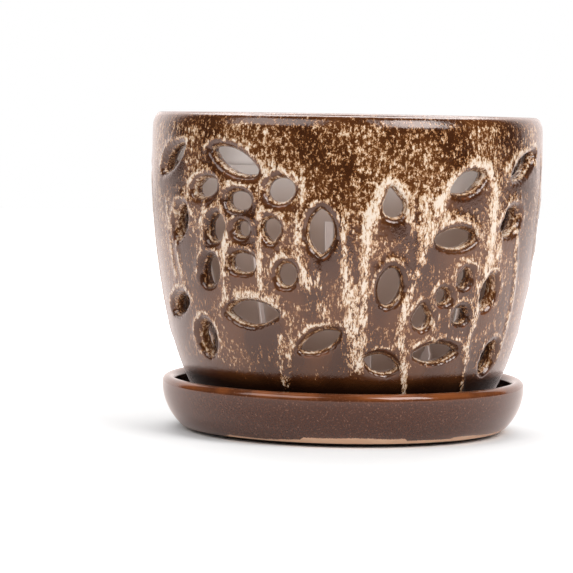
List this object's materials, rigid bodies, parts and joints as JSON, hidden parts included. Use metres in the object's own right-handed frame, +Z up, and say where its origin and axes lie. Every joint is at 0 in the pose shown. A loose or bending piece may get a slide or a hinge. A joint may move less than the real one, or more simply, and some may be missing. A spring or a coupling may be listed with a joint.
{
  "type": "slotted orchid pot",
  "caption": "Round glazed stoneware orchid pot with hand-cut slots through its wall, standing in a saucer, with a frosted plastic growing liner inside.",
  "frame": {"origin": "centre of the saucer's base, on the surface that it stands on", "axes": "+Z up along the pot's axis, the front of the slot pattern towards -Y"},
  "size_m": [0.165, 0.165, 0.1337],
  "materials": {
    "saucer_glaze": "gloss mauve-brown glaze with tan speckle, amber where it thins on the lip, bare clay at the foot",
    "pot_glaze": "gloss dark brown glaze with dense cream speckle and cream runs between the slots",
    "frosted_plastic": "frosted translucent polypropylene"
  },
  "bodies": {
    "saucer": {"saucer": "saucer_glaze"},
    "pot": {"pot_base": "pot_glaze", "pot_shell": "pot_glaze"},
    "liner": {"liner": "frosted_plastic"}
  },
  "joints": [
    {"name": "pot_lift", "type": "slide", "parent": "saucer", "child": "pot", "axis": [0, 0, 1], "range_m": [0, 0.06]},
    {"name": "liner_lift", "type": "slide", "parent": "pot", "child": "liner", "axis": [0, 0, 1], "range_m": [0, 0.13]}
  ]
}
